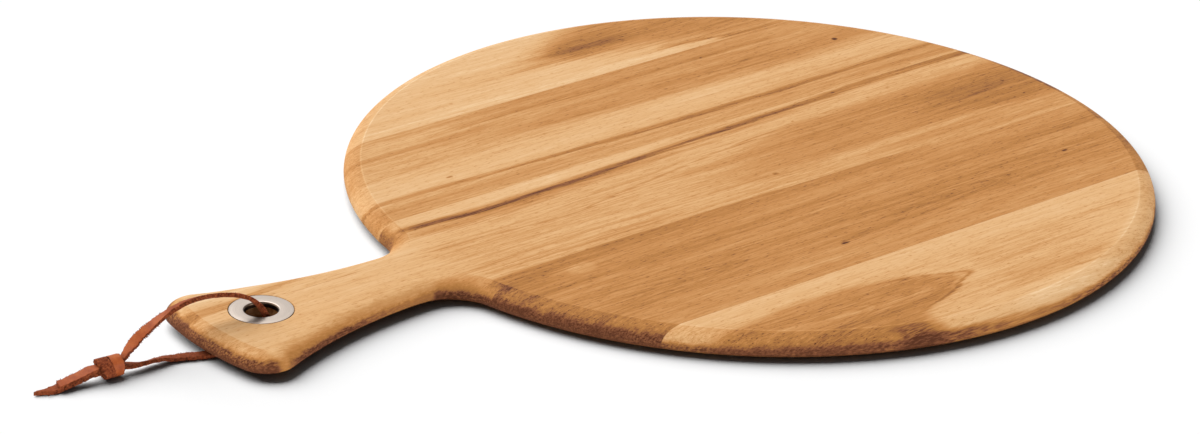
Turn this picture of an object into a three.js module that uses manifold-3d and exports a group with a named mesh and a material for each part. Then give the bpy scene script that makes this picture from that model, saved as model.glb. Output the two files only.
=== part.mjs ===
// Round acacia serving board with a paddle handle, a metal eyelet and a leather hanging lace.
// Millimetres, +Z up. The origin is the disc's centre on the underside, and the handle points along -X.
// The board is glued up from five staves, and the handle is cut from the centre stave.
import * as THREE from 'three';
import { mergeVertices } from 'three/addons/utils/BufferGeometryUtils.js';
import Module from 'manifold-3d';

const wasm = await Module();
wasm.setup();

// Board outline
const DISC_RADIUS = 190;
const THICKNESS = 12;
const HANDLE_LENGTH = 122.6; // disc's rim to the middle of the handle's end
const HANDLE_END_RADIUS = 144;
const HANDLE_CORNER_RADIUS = 14;
const NECK_WIDTH = 40.6;
const NECK_FROM_RIM = 12.5; // disc's rim to the narrowest section
const FLANK_RADIUS = 224; // hollow sides of the handle
const ROOT_FILLET_RADIUS = 18.5; // where the handle runs into the disc

// Rim section: a rounding from a crisp top edge to the nose, and a flatter one turned under it
const RIM_INSET = 8;
const RIM_SHOULDER_DROP = 2; // how far the top edge falls away before it turns down
const NOSE_HEIGHT = 5;
const UNDER_INSET = 11.7;

// Along the handle's flanks the crisp edge is sanded away for the hand
const FLANK_INSET = 10;
const SOFT_EDGE_INSIDE_RIM = 5; // where the edge starts to fade, inside the disc's rim
const SOFT_EDGE_FADE_IN = 12;
const SOFT_EDGE_FADE_OUT = 26;
const SOFT_EDGE_FROM_END = 22; // where the edge is crisp again, before the handle's end

// Relief under the handle, so that fingers and the lace pass below it
const RELIEF_DEPTH = 2.2;
const RELIEF_INSIDE_RIM = 4; // where the ramp starts, inside the disc's rim
const RELIEF_RAMP = 30;

// Glue lines, measured from the board's axis towards the far side
const FAR_OUTER_GLUE_LINE = 122;
const FAR_INNER_GLUE_LINE = 42.3;
const NEAR_INNER_GLUE_LINE = -39.8;
const NEAR_OUTER_GLUE_LINE = -114.5;

// Eyelet: two flanged rings, one let into each face of the handle
const EYELET_FROM_END = 34;
const EYELET_OFF_AXIS = 2.7;
const EYELET_BORE = 14.6;
const EYELET_FLANGE = 28.2;
const EYELET_FLANGE_THICKNESS = 1;
const EYELET_LIP_WALL = 0.7;
const EYELET_LIP_DEPTH = 2.4; // from the flange's outer face to the lip's end
const EYELET_ROLL = 1; // rounding from the flange into the bore
const EYELET_CLEARANCE = 0.3;

// Lace: one flat strip of leather, tied in a knot behind the handle's end
const LACE_WIDTH = 4.6;
const LACE_THICKNESS = 1.6;
const LACE_CHAMFER = 0.4;
const KNOT_TURNS = 2;
const KNOT_PITCH = 5.2;
const KNOT_BORE_RADIUS = 3.2;
const UPPER_TAIL_CUT = -0.6; // how much longer the far edge is at the cut
const LOWER_TAIL_CUT = 9.5;
const TAIL_CUT_REACH = 14; // over which the sections lean to meet the cut

// Facets
const DISC_STEPS = 44; // over the half circle
const HANDLE_END_STEPS = 5;
const CORNER_STEPS = 6;
const FLANK_STEPS = 10;
const FILLET_STEPS = 5;
const SHOULDER_STEPS = 5;
const UNDER_STEPS = 4;
const EYELET_STEPS = 48;
const ROLL_STEPS = 4;
const LACE_STEPS = 80;
const TAIL_STEPS = 12;
const KNOT_STEPS = 48;

const HANDLE_REACH = DISC_RADIUS + HANDLE_LENGTH;
const NECK_DISTANCE = DISC_RADIUS + NECK_FROM_RIM;
const RELIEF_START = DISC_RADIUS - RELIEF_INSIDE_RIM;
const EYELET_X = EYELET_FROM_END - HANDLE_REACH;

// Routes of the lace, measured from the eyelet's axis at floor level.
// Each row is x, y, z and the turn of the strip about its own line in degrees.
// The loop goes out of the knot, over the handle's end, down the bore, and back below the handle.
const LOOP_ROUTE = [
  [-75.05, 3.7, 5.85, 0],
  [-72.4, 3.55, 5.85, 0],
  [-70.7, 3.4, 6, 0],
  [-69, 3.3, 7.3, 0],
  [-66.8, 3.1, 10.2, -8],
  [-63.4, 2.85, 13.5, -18],
  [-59.4, 2.5, 16.7, -20],
  [-54, 2.1, 19.8, -23],
  [-48.2, 1.7, 22.6, -25],
  [-39.8, 1.1, 25.3, -26],
  [-31.4, 0.4, 25.9, -28],
  [-23.9, -0.1, 25.2, -27],
  [-18.2, -0.5, 24.1, -20],
  [-11.6, -1, 22, -12],
  [-6, -1.45, 18.9, -6],
  [-2, -1.75, 14.8, -3],
  [1, -1.9, 9.6, 0],
  [2.2, -1.95, 6.4, 0],
  [1.5, -2, 3.4, 0],
  [-1.2, -2.1, 1.5, 0],
  [-5.4, -2.4, 1.05, 0],
  [-12.4, -3.9, 1.05, 0],
  [-20.4, -5.3, 1.05, 0],
  [-27.4, -5.3, 1.05, 0],
  [-33.9, -3.3, 1.1, 0],
  [-40.9, -0.3, 1.2, 0],
  [-45.6, 1.1, 1.25, 0],
  [-49.6, 1.75, 1.95, 12],
  [-54.4, 1.9, 2.3, 22],
  [-60.4, 1.9, 2.6, 27],
  [-66.2, 2.6, 3.25, 6],
  [-69.7, 3.3, 3.85, 0],
  [-72.4, 3.55, 3.95, 0],
  [-75.05, 3.7, 3.95, 0],
];
const UPPER_TAIL_ROUTE = [
  [-75.4, 3.72, 5.85, 0],
  [-78.4, 3.9, 5.85, 0],
  [-81.4, 4.1, 5.85, 0],
  [-85.4, 4.3, 5.65, -6],
  [-90.4, 4.6, 4.5, -9],
  [-96.4, 4.8, 3.45, -9],
  [-100.6, 4.85, 3.15, -9],
];
const LOWER_TAIL_ROUTE = [
  [-75.4, 3.72, 3.95, 0],
  [-78.4, 3.9, 3.95, 0],
  [-81.4, 4.25, 3.8, 0],
  [-85.4, 4.95, 3.5, -2],
  [-90.4, 5.7, 2.3, -4],
  [-96.4, 6.2, 1.25, -2],
  [-102.4, 5.9, 0.9, 0],
  [-106, 5.7, 0.9, 0],
];
const KNOT_CENTRE = [-75.2, 3.7, 4.9];
const KNOT_AXIS = [-0.9975, 0.07, 0]; // from the loop towards the tails

// Where two circles cross, on the side given by the sign
function circlesCross(centreA, radiusA, centreB, radiusB, side) {
  const along = centreB.clone().sub(centreA);
  const distance = along.length();
  along.normalize();
  const reach = (radiusA ** 2 - radiusB ** 2 + distance ** 2) / (2 * distance);
  const half = Math.sqrt(radiusA ** 2 - reach ** 2);
  const across = new THREE.Vector2(-along.y, along.x).multiplyScalar(side * half);
  return centreA.clone().addScaledVector(along, reach).add(across);
}

// Points of an arc without its last one, each with the direction out of the wood
function arc(centre, radius, from, to, steps, hollow) {
  const points = [];
  for (let i = 0; i < steps; i += 1) {
    const angle = THREE.MathUtils.lerp(from, to, i / steps);
    const ray = new THREE.Vector2(Math.cos(angle), Math.sin(angle));
    const point = centre.clone().addScaledVector(ray, radius);
    points.push({ point, out: hollow ? ray.negate() : ray });
  }
  return points;
}

// The far half of the outline, from the disc's +X point to the middle of the handle's end, and its mirror
function boardOutline() {
  const disc = new THREE.Vector2(0, 0);
  const flank = new THREE.Vector2(-NECK_DISTANCE, NECK_WIDTH / 2 + FLANK_RADIUS);
  const end = new THREE.Vector2(HANDLE_END_RADIUS - HANDLE_REACH, 0);
  const fillet = circlesCross(
    disc, DISC_RADIUS + ROOT_FILLET_RADIUS, flank, FLANK_RADIUS - ROOT_FILLET_RADIUS, 1);
  const corner = circlesCross(
    end, HANDLE_END_RADIUS - HANDLE_CORNER_RADIUS, flank, FLANK_RADIUS + HANDLE_CORNER_RADIUS, 1);
  const angleOf = (from, to) => Math.atan2(to.y - from.y, to.x - from.x);
  const filletAngle = angleOf(disc, fillet);
  const cornerAngle = angleOf(end, corner);
  const far = [
    ...arc(disc, DISC_RADIUS, 0, filletAngle, DISC_STEPS, false),
    ...arc(fillet, ROOT_FILLET_RADIUS, filletAngle - Math.PI, angleOf(flank, fillet), FILLET_STEPS, true),
    ...arc(flank, FLANK_RADIUS, angleOf(flank, fillet), angleOf(flank, corner), FLANK_STEPS, true),
    ...arc(corner, HANDLE_CORNER_RADIUS, angleOf(corner, flank), cornerAngle, CORNER_STEPS, false),
    ...arc(end, HANDLE_END_RADIUS, cornerAngle, Math.PI, HANDLE_END_STEPS, false),
  ];
  const tip = { point: new THREE.Vector2(-HANDLE_REACH, 0), out: new THREE.Vector2(-1, 0) };
  const mirror = new THREE.Vector2(1, -1);
  const near = far.slice(1).reverse().map(({ point, out }) => ({
    point: point.clone().multiply(mirror),
    out: out.clone().multiply(mirror),
  }));
  return [...far, tip, ...near];
}

// How far the crisp edge is sanded away at a point of the outline: 0 on the disc and the end, 1 on the flanks
function softness(point) {
  const { smoothstep } = THREE.MathUtils;
  const start = DISC_RADIUS - SOFT_EDGE_INSIDE_RIM;
  const end = HANDLE_REACH - SOFT_EDGE_FROM_END;
  const fadeIn = smoothstep(-point.x, start, start + SOFT_EDGE_FADE_IN);
  const fadeOut = smoothstep(-point.x, end - SOFT_EDGE_FADE_OUT, end);
  return fadeIn * (1 - fadeOut);
}

// The rim's section from the top edge down, as distance inside the outline and height
function rimSection(soft) {
  const shoulder = new THREE.QuadraticBezierCurve(
    new THREE.Vector2(THREE.MathUtils.lerp(RIM_INSET, FLANK_INSET, soft), THICKNESS),
    new THREE.Vector2(0, THICKNESS - RIM_SHOULDER_DROP * (1 - soft)),
    new THREE.Vector2(0, NOSE_HEIGHT),
  );
  const under = new THREE.EllipseCurve(
    UNDER_INSET, NOSE_HEIGHT, UNDER_INSET, NOSE_HEIGHT, Math.PI, 1.5 * Math.PI, false);
  return [...shoulder.getPoints(SHOULDER_STEPS), ...under.getPoints(UNDER_STEPS).slice(1)];
}

// The section carried round the outline, closed by flat faces above and below
function boardGeometry() {
  const outline = boardOutline();
  const sections = outline.map(({ point }) => rimSection(softness(point)));
  const count = outline.length;
  const bottom = sections[0].length - 1;
  const positions = [];
  for (let ring = 0; ring <= bottom; ring += 1) {
    outline.forEach(({ point, out }, i) => {
      const level = sections[i][ring];
      positions.push(point.x - out.x * level.x, point.y - out.y * level.x, level.y);
    });
  }
  const index = [];
  for (let ring = 0; ring < bottom; ring += 1) {
    for (let i = 0; i < count; i += 1) {
      const next = (i + 1) % count;
      const upper = ring * count;
      const lower = upper + count;
      index.push(upper + i, lower + i, lower + next, upper + i, lower + next, upper + next);
    }
  }
  const ringPoints = (ring) => outline.map((_, i) => {
    const at = 3 * (ring * count + i);
    return new THREE.Vector2(positions[at], positions[at + 1]);
  });
  for (const [a, b, c] of THREE.ShapeUtils.triangulateShape(ringPoints(0), [])) {
    index.push(a, b, c);
  }
  for (const [a, b, c] of THREE.ShapeUtils.triangulateShape(ringPoints(bottom), [])) {
    index.push(bottom * count + a, bottom * count + c, bottom * count + b);
  }
  const geometry = new THREE.BufferGeometry();
  geometry.setAttribute('position', new THREE.Float32BufferAttribute(positions, 3));
  geometry.setIndex(index);
  return geometry;
}

// A ramp and a flat cut along the handle's underside, right across it
function reliefGeometry() {
  const below = -RELIEF_DEPTH;
  const ramp = RELIEF_RAMP / 2;
  const rampEnd = -RELIEF_START - RELIEF_RAMP;
  const past = -HANDLE_REACH - RELIEF_RAMP;
  const profile = new THREE.Shape();
  profile.moveTo(past, below);
  profile.lineTo(-RELIEF_START, below);
  profile.lineTo(-RELIEF_START, 0);
  profile.bezierCurveTo(
    -RELIEF_START - ramp, 0, rampEnd + ramp, RELIEF_DEPTH, rampEnd, RELIEF_DEPTH);
  profile.lineTo(past, RELIEF_DEPTH);
  const across = 2 * DISC_RADIUS;
  const geometry = new THREE.ExtrudeGeometry(profile, { depth: across, bevelEnabled: false, curveSegments: 6 });
  geometry.rotateX(Math.PI / 2);
  geometry.translate(0, across / 2, 0);
  return geometry;
}

// A solid of revolution about the eyelet's axis from pairs of radius and height
function turned(profile) {
  const points = profile.map(([radius, height]) => new THREE.Vector2(radius, height));
  const geometry = new THREE.LatheGeometry(points, EYELET_STEPS);
  geometry.rotateX(Math.PI / 2);
  return geometry;
}

// The stepped hole for both eyelets: a seat for each flange and a bore between them
function eyeletHoleGeometry() {
  const seat = EYELET_FLANGE / 2 + EYELET_CLEARANCE;
  const bore = EYELET_BORE / 2 + EYELET_LIP_WALL + EYELET_CLEARANCE;
  const lowerSeat = RELIEF_DEPTH + EYELET_FLANGE_THICKNESS;
  const upperSeat = THICKNESS - EYELET_FLANGE_THICKNESS;
  const geometry = turned([
    [0, 0], [seat, 0], [seat, lowerSeat], [bore, lowerSeat],
    [bore, upperSeat], [seat, upperSeat], [seat, 2 * THICKNESS], [0, 2 * THICKNESS],
  ]);
  geometry.translate(EYELET_X, EYELET_OFF_AXIS, 0);
  return geometry;
}

// One flanged ring with its outer face at height 0 and its lip below, rolled over into the bore
function eyeletGeometry() {
  const inner = EYELET_BORE / 2;
  const lip = inner + EYELET_LIP_WALL;
  const flange = EYELET_FLANGE / 2;
  const roll = new THREE.EllipseCurve(
    inner + EYELET_ROLL, -EYELET_ROLL, EYELET_ROLL, EYELET_ROLL, Math.PI / 2, Math.PI, false);
  const rolled = roll.getPoints(ROLL_STEPS).map(({ x, y }) => [x, y]);
  return turned([
    [lip, -EYELET_FLANGE_THICKNESS], [flange, -EYELET_FLANGE_THICKNESS], [flange, 0],
    ...rolled,
    [inner, -EYELET_LIP_DEPTH], [lip, -EYELET_LIP_DEPTH], [lip, -EYELET_FLANGE_THICKNESS],
  ]);
}

// The lace's section: a rectangle with its edges taken off
function laceSection() {
  const w = LACE_WIDTH / 2;
  const t = LACE_THICKNESS / 2;
  const c = LACE_CHAMFER;
  return [
    [w, t - c], [w - c, t], [c - w, t], [-w, t - c],
    [-w, c - t], [c - w, -t], [w - c, -t], [w, c - t],
  ];
}

// A smooth curve through the rows of a route, and the strip's turn at each share of its length
function laceRoute(rows) {
  const { degToRad, lerp } = THREE.MathUtils;
  const curve = new THREE.CatmullRomCurve3(rows.map(([x, y, z]) => new THREE.Vector3(x, y, z)));
  const turnAt = (share) => {
    const place = curve.getUtoTmapping(share) * (rows.length - 1);
    const row = Math.min(Math.floor(place), rows.length - 2);
    return degToRad(lerp(rows[row][3], rows[row + 1][3], place - row));
  };
  return { curve, turnAt };
}

// A strip of lace along a curve, its width held as near to one direction as the curve and its turn allow.
// Towards a slanting cut the sections lean, so that the far edge ends further on than the near one.
function stripGeometry({ curve, turnAt = () => 0 }, steps, widthHint, cut = 0) {
  const section = laceSection();
  const sides = section.length;
  const length = curve.getLength();
  const positions = [];
  for (let i = 0; i <= steps; i += 1) {
    const share = i / steps;
    const place = curve.getPointAt(share);
    const along = curve.getTangentAt(share);
    const across = widthHint.clone().addScaledVector(along, -widthHint.dot(along)).normalize();
    across.applyAxisAngle(along, turnAt(share));
    const up = new THREE.Vector3().crossVectors(along, across);
    const lean = Math.max(0, 1 - (length * (1 - share)) / TAIL_CUT_REACH) * (cut / LACE_WIDTH);
    for (const [w, t] of section) {
      const corner = place.clone()
        .addScaledVector(across, w)
        .addScaledVector(up, t)
        .addScaledVector(along, lean * w);
      positions.push(corner.x, corner.y, corner.z);
    }
  }
  const index = [];
  for (let i = 0; i < steps; i += 1) {
    for (let k = 0; k < sides; k += 1) {
      const a = i * sides + k;
      const b = i * sides + ((k + 1) % sides);
      index.push(a, b, b + sides, a, b + sides, a + sides);
    }
  }
  const last = steps * sides;
  for (let k = 1; k + 1 < sides; k += 1) {
    index.push(0, k + 1, k, last, last + k, last + k + 1);
  }
  const geometry = new THREE.BufferGeometry();
  geometry.setAttribute('position', new THREE.Float32BufferAttribute(positions, 3));
  geometry.setIndex(index);
  return geometry;
}

// The turns of the knot: a helix round the two strands that run through it
class KnotTurns extends THREE.Curve {
  getPoint(t, target = new THREE.Vector3()) {
    const axis = new THREE.Vector3(...KNOT_AXIS).normalize();
    const up = new THREE.Vector3(0, 0, 1);
    const side = new THREE.Vector3().crossVectors(axis, up);
    const angle = (t * KNOT_TURNS - 0.25) * 2 * Math.PI;
    const radius = KNOT_BORE_RADIUS + LACE_THICKNESS / 2;
    return target.set(...KNOT_CENTRE)
      .addScaledVector(axis, (t - 0.5) * KNOT_TURNS * KNOT_PITCH)
      .addScaledVector(side, radius * Math.cos(angle))
      .addScaledVector(up, radius * Math.sin(angle));
  }
}

// The least free space between one turn of the knot and the next, measured on points of its middle line
function knotTurnGap() {
  const points = new KnotTurns().getPoints(KNOT_STEPS);
  const perTurn = KNOT_STEPS / KNOT_TURNS;
  let least = Infinity;
  points.forEach((point, i) => {
    points.slice(i + Math.ceil(perTurn / 2)).forEach((other) => {
      least = Math.min(least, point.distanceTo(other));
    });
  });
  return least - LACE_WIDTH;
}

// A closed geometry as a solid that can be cut
function solid(geometry) {
  geometry.deleteAttribute('normal');
  geometry.deleteAttribute('uv');
  const merged = mergeVertices(geometry);
  return new wasm.Manifold(new wasm.Mesh({
    numProp: 3,
    vertProperties: new Float32Array(merged.attributes.position.array),
    triVerts: new Uint32Array(merged.index.array),
  }));
}

function cutGeometry(body) {
  const mesh = body.getMesh();
  const geometry = new THREE.BufferGeometry();
  geometry.setAttribute('position', new THREE.BufferAttribute(mesh.vertProperties, 3));
  geometry.setIndex(new THREE.BufferAttribute(mesh.triVerts, 1));
  return geometry;
}

function piece(name, geometry, colour, roughness, metalness = 0) {
  geometry.computeVertexNormals();
  const material = new THREE.MeshStandardMaterial({ color: colour, roughness, metalness });
  const mesh = new THREE.Mesh(geometry, material);
  mesh.name = name;
  return mesh;
}

// The part of the board between two glue lines, from a distance along the board's axis to its far rim
function staveBody(board, start, near, far) {
  const end = 2 * DISC_RADIUS;
  const strip = new THREE.BoxGeometry(end - start, far - near, 4 * THICKNESS);
  strip.translate((start + end) / 2, (near + far) / 2, 0);
  return board.intersect(solid(strip));
}

const ACACIA_ROUGHNESS = 0.5;

function staves() {
  const board = solid(boardGeometry());
  const rim = 2 * DISC_RADIUS;
  const discStart = -DISC_RADIUS;
  const handleStart = -2 * HANDLE_REACH;
  const outer = (near, far) => cutGeometry(staveBody(board, discStart, near, far));
  const centre = staveBody(board, handleStart, NEAR_INNER_GLUE_LINE, FAR_INNER_GLUE_LINE)
    .subtract(solid(reliefGeometry()))
    .subtract(solid(eyeletHoleGeometry()));
  return [
    piece('stave_far_outer', outer(FAR_OUTER_GLUE_LINE, rim), '#d2a067', ACACIA_ROUGHNESS),
    piece('stave_far_inner', outer(FAR_INNER_GLUE_LINE, FAR_OUTER_GLUE_LINE), '#c58d52', ACACIA_ROUGHNESS),
    piece('stave_centre_with_handle', cutGeometry(centre), '#d3a05c', ACACIA_ROUGHNESS),
    piece('stave_near_inner', outer(NEAR_OUTER_GLUE_LINE, NEAR_INNER_GLUE_LINE), '#b87b46', ACACIA_ROUGHNESS),
    piece('stave_near_outer', outer(-rim, NEAR_OUTER_GLUE_LINE), '#cf9d60', ACACIA_ROUGHNESS),
  ];
}

function eyelets() {
  const upper = piece('eyelet_top', eyeletGeometry(), '#b8b0a6', 0.35, 1);
  upper.position.set(EYELET_X, EYELET_OFF_AXIS, THICKNESS);
  const lower = piece('eyelet_bottom', eyeletGeometry(), '#b8b0a6', 0.35, 1);
  lower.rotation.x = Math.PI;
  lower.position.set(EYELET_X, EYELET_OFF_AXIS, RELIEF_DEPTH);
  return [upper, lower];
}

function lace() {
  const farSide = new THREE.Vector3(0, 1, 0);
  const knotAxis = new THREE.Vector3(...KNOT_AXIS);
  const leather = '#9c5430';
  const group = new THREE.Group();
  group.position.set(EYELET_X, EYELET_OFF_AXIS, 0);
  group.add(
    piece('lace_loop', stripGeometry(laceRoute(LOOP_ROUTE), LACE_STEPS, farSide), leather, 0.75),
    piece('lace_knot', stripGeometry({ curve: new KnotTurns() }, KNOT_STEPS, knotAxis), leather, 0.75),
    piece('lace_tail_upper',
      stripGeometry(laceRoute(UPPER_TAIL_ROUTE), TAIL_STEPS, farSide, UPPER_TAIL_CUT), leather, 0.75),
    piece('lace_tail_lower',
      stripGeometry(laceRoute(LOWER_TAIL_ROUTE), TAIL_STEPS, farSide, LOWER_TAIL_CUT), leather, 0.75),
  );
  console.log(`least gap between the knot's turns: ${knotTurnGap().toFixed(2)} mm`);
  return group;
}

const servingBoard = new THREE.Group();
servingBoard.add(...staves(), ...eyelets(), lace());

export default servingBoard;
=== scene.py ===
"""Looks of a round acacia serving board with a paddle handle, steel eyelets and a knotted leather lace.

Sizes are millimetres until a mesh is made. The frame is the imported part's: the origin is the disc's centre
on its underside, the handle points along -X and +Z is up.
"""
from contextlib import contextmanager

import bmesh
import bpy
import numpy as np
from mathutils import Matrix


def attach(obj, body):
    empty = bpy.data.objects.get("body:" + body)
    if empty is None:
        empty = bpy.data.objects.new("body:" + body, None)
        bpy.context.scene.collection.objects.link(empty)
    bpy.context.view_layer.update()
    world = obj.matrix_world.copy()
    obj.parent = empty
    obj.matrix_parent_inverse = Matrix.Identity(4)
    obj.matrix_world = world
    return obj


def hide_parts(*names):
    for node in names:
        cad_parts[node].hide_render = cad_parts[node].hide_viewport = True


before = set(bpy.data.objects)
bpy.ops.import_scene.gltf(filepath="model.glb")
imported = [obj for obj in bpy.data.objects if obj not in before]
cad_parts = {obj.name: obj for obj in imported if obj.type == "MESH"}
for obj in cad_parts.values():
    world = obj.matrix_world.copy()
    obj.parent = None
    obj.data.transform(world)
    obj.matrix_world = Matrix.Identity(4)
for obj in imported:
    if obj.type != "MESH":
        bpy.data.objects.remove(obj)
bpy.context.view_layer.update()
MM = 0.001
TO_MM = 1000.0  # Object coordinates to millimetres
MERGED = 1e-7  # metres within which points count as one

# Angles past which an edge stays sharp, in degrees
WOOD_CREASE = 28
HOLE_CREASE = 30
STEEL_CREASE = 40
LACE_CREASE = 50

# Board outline
DISC_RADIUS = 190.0
THICKNESS = 12.0
HANDLE_REACH = 312.6
HANDLE_END_RADIUS = 144.0
HANDLE_CORNER_RADIUS = 14.0
NECK_WIDTH = 40.6
NECK_DISTANCE = 202.5
FLANK_RADIUS = 224.0
ROOT_FILLET_RADIUS = 18.5
DISC_STEPS = 260
FILLET_STEPS = 30
FLANK_STEPS = 60
CORNER_STEPS = 30
END_STEPS = 24

# Rim section
RIM_INSET = 8.0
RIM_SHOULDER_DROP = 2.0
NOSE_HEIGHT = 5.0
UNDER_INSET = 11.7
FLANK_INSET = 10.0
SOFT_EDGE_IN = (185.0, 197.0)  # distances along the handle where its edge turns soft
SOFT_EDGE_OUT = (264.6, 290.6)  # and where it turns crisp again
EASED_EDGE = 0.35  # how far the sanded top edge is eased along the flat and down the shoulder
FLAT_MARGIN = 1.2  # width of the narrow ring that keeps the flats flat
EASING_STEPS = 5
SHOULDER_STEPS = 15
UNDER_STEPS = 10

# Relief under the handle
RELIEF_DEPTH = 2.2
RELIEF_RAMP = (186.0, 216.0)
RELIEF_STEPS = 10

# Glue lines between the staves
FAR_OUTER_LINE = 122.0
FAR_INNER_LINE = 42.3
NEAR_INNER_LINE = -39.8
NEAR_OUTER_LINE = -114.5

# Eyelets
EYELET_X = -278.6
EYELET_Y = 2.7
EYELET_BORE = 7.3
EYELET_FLANGE = 14.1
FLANGE_THICKNESS = 1.0
LIP_WALL = 0.7
LIP_DEPTH = 2.4
EYELET_ROLL = 1.0  # radius that the flange rolls over into the bore with
EYELET_EASE = 0.08
EYELET_CLEARANCE = 0.3
HOLE_EASE = 0.25
HOLE_OVERCUT = 1.0  # how far the cutter stands out of the wood
TURNED_STEPS = 128
ROLL_STEPS = 13
EASE_STEPS = 6

# Lace. Its routes are measured from the eyelet's axis at the underside's level.
# Each row is x, y, z and the turn of the strip about its own line in degrees.
LACE_WIDTH = 4.6
LACE_THICKNESS = 1.6
LACE_STEP = 0.4
LACE_SIDES = 24
LACE_LOWEST = 0.02  # height above the underside's level that no leather goes below
LOOP_ROUTE = np.array([
    [-75.05, 3.7, 5.85, 0], [-72.4, 3.55, 5.85, 0], [-70.7, 3.4, 6, 0], [-69, 3.3, 7.3, 0],
    [-66.8, 3.1, 10.2, 3], [-63.4, 2.85, 13.5, 20], [-59.4, 2.5, 16.7, 25], [-54, 2.1, 19.8, 4],
    [-48.2, 1.7, 22.6, -16], [-39.8, 1.1, 25.3, -22], [-31.4, 0.4, 25.9, -28], [-23.9, -0.1, 25.2, -27],
    [-18.2, -0.5, 24.1, -20], [-11.6, -1, 22, -12], [-6, -1.45, 18.9, -6], [-2, -1.75, 14.8, -3],
    [1, -1.9, 9.6, 0], [2.2, -1.95, 6.4, 0], [1.5, -2, 3.4, 0], [-1.2, -2.1, 1.5, 0],
    [-5.4, -2.4, 1.05, 0], [-12.4, -3.9, 1.05, 0], [-20.4, -5.3, 1.05, 0], [-27.4, -5.3, 1.05, 0],
    [-33.9, -3.3, 1.1, 0], [-40.9, -0.3, 1.2, 0], [-45.6, 1.1, 1.25, 0], [-49.6, 1.75, 1.95, 12],
    [-54.4, 1.9, 2.3, 22], [-60.4, 1.9, 2.6, 27], [-66.2, 2.6, 3.25, 6], [-69.7, 3.3, 3.85, 0],
    [-72.4, 3.55, 3.95, 0], [-75.05, 3.7, 3.95, 0],
])
UPPER_TAIL_ROUTE = np.array([
    [-75.4, 3.72, 5.85, 0], [-78.4, 3.9, 5.85, 0], [-81.4, 4.1, 5.85, 0], [-85.4, 4.3, 5.65, -6],
    [-90.4, 4.6, 4.5, -9], [-96.4, 4.8, 3.45, -9], [-100.6, 4.85, 3.15, -9],
])
LOWER_TAIL_ROUTE = np.array([
    [-75.4, 3.72, 3.95, 0], [-78.4, 3.9, 3.95, 0], [-81.4, 4.25, 3.8, 0], [-85.4, 4.95, 3.5, -2],
    [-90.4, 5.7, 2.3, -4], [-96.4, 6.2, 1.25, -2], [-102.4, 5.9, 0.9, 0], [-106.8, 5.65, 0.9, 0],
])
UPPER_TAIL_CUT = -0.6  # how far one edge of the tail's end lies past the other
LOWER_TAIL_CUT = 7.8
TAIL_CUT_REACH = 14.0  # length over which the sections lean towards the cut
KNOT_CENTRE = np.array([-75.2, 3.7, 4.9])
KNOT_AXIS = np.array([-0.9975, 0.07, 0.0])
KNOT_RADIUS = 3.9


def to_linear(code):
    """An sRGB hex colour as linear red, green, blue and alpha."""
    parts = np.array([int(code[i:i + 2], 16) for i in (1, 3, 5)]) / 255
    linear = np.where(parts <= 0.04045, parts / 12.92, ((parts + 0.055) / 1.055) ** 2.4)
    return (*linear.tolist(), 1.0)


def add(tree, kind, inputs=(), stops=(), **settings):
    """A shader node with its settings; an input is linked to a node or socket, or set to a value.

    Inputs are listed in the node's order, or go by name or number. Stops of position and hex colour are for
    a colour ramp.
    """
    node = tree.nodes.new("ShaderNode" + kind)
    for name, value in settings.items():
        setattr(node, name, value)
    for name, value in inputs.items() if isinstance(inputs, dict) else enumerate(inputs):
        if isinstance(value, bpy.types.Node):
            value = value.outputs[0]
        if isinstance(value, bpy.types.NodeSocket):
            tree.links.new(value, node.inputs[name])
        else:
            node.inputs[name].default_value = value
    for place, (position, code) in enumerate(stops):
        elements = node.color_ramp.elements
        element = elements[place] if place < 2 else elements.new(1.0)
        element.position = position
        element.color = to_linear(code)
    return node


def new_material(name):
    """An empty node material and its tree."""
    material = bpy.data.materials.new(name)
    material.use_nodes = True
    material.node_tree.nodes.clear()
    return material, material.node_tree


def smoothstep(value, low, high):
    """The cubic 3t^2 - 2t^3 of how far a value lies from low to high, held at 0 and 1 outside."""
    t = np.clip((value - low) / (high - low), 0, 1)
    return t * t * (3 - 2 * t)


def unit(vectors):
    """Vectors scaled to length 1 along the last axis."""
    return vectors / np.linalg.norm(vectors, axis=-1, keepdims=True)


def grid_faces(rows, columns):
    """Quads of a grid of vertices numbered row by row, whose columns close into a ring."""
    i = np.arange(rows - 1)[:, None]
    j = np.arange(columns)[None, :]
    beside = (j + 1) % columns
    corners = [i * columns + j, i * columns + beside, (i + 1) * columns + beside, (i + 1) * columns + j]
    return np.stack(np.broadcast_arrays(*corners), -1).reshape(-1, 4)


def ring_faces(rows, columns, capped):
    """The quads of grid_faces as lists; where they are capped, with a face across each end."""
    count = rows * columns
    caps = [list(range(columns)), list(range(count - columns, count))]
    return grid_faces(rows, columns).tolist() + (caps if capped else [])


def new_mesh(name, points, faces):
    """A mesh of points given in millimetres."""
    mesh = bpy.data.meshes.new(name)
    mesh.from_pydata((np.array(points) * MM).tolist(), [], faces)
    return mesh


@contextmanager
def opened(mesh, result=None):
    """A mesh as a bmesh to work on, which is then written back, or to another mesh."""
    body = bmesh.new()
    body.from_mesh(mesh)
    yield body
    body.to_mesh(result or mesh)
    body.free()


def finish_mesh(mesh, crease):
    """Faces turned outwards and shaded smooth, with edges sharper than the crease kept sharp."""
    with opened(mesh) as body:
        bmesh.ops.recalc_face_normals(body, faces=body.faces)
    mesh.shade_smooth()
    mesh.set_sharp_from_angle(angle=np.radians(crease))


def new_object(name, data):
    """An object in the scene for a mesh, a camera or a lamp."""
    item = bpy.data.objects.new(name, data)
    bpy.context.scene.collection.objects.link(item)
    return item


def aim(item, right, up, back, place=(0, 0, 0)):
    """Turns a camera or a lamp to its own three axes and puts it at a place in metres."""
    matrix = np.eye(4)
    matrix[:3] = np.column_stack([right, up, back, place])
    item.matrix_world = Matrix(matrix.tolist())


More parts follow.
